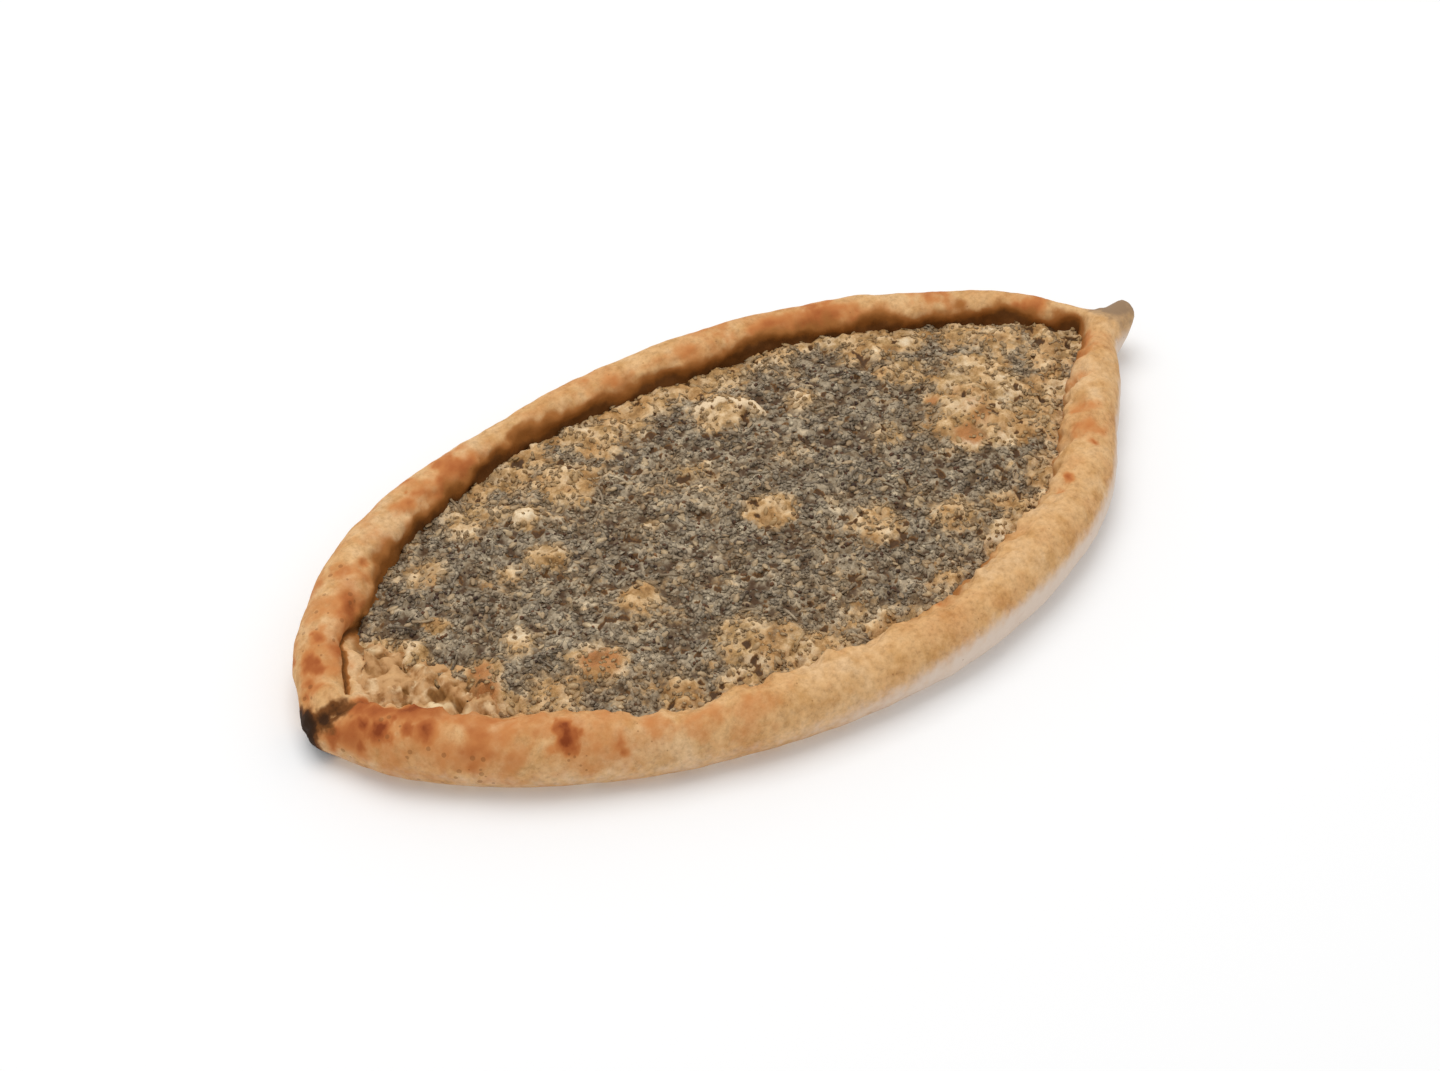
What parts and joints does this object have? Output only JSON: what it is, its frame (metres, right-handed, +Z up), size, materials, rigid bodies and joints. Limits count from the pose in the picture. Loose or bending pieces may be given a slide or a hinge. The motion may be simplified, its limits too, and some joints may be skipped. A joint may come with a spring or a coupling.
{
  "type": "zaatar flatbread",
  "caption": "Boat-shaped flatbread with a rolled rim pinched at its tips, baked with a spread of zaatar herbs, oil and sesame inside the rim.",
  "frame": {"origin": "middle of the bread's footprint on the surface it rests on", "axes": "+X along the bread from the pinched left tip to the tip with the small dough tail, +Y across it, +Z up through the topping"},
  "size_m": [0.2398, 0.1294, 0.0165],
  "materials": {
    "crust": "baked dough, matt, golden brown with darker toasted spots and a little flour",
    "zaatar": "oily herb and sesame spread, dark olive grey with tan seeds, semi-matt"
  },
  "bodies": {
    "root": {"bread": "crust", "zaatar_topping": "zaatar"}
  },
  "joints": []
}
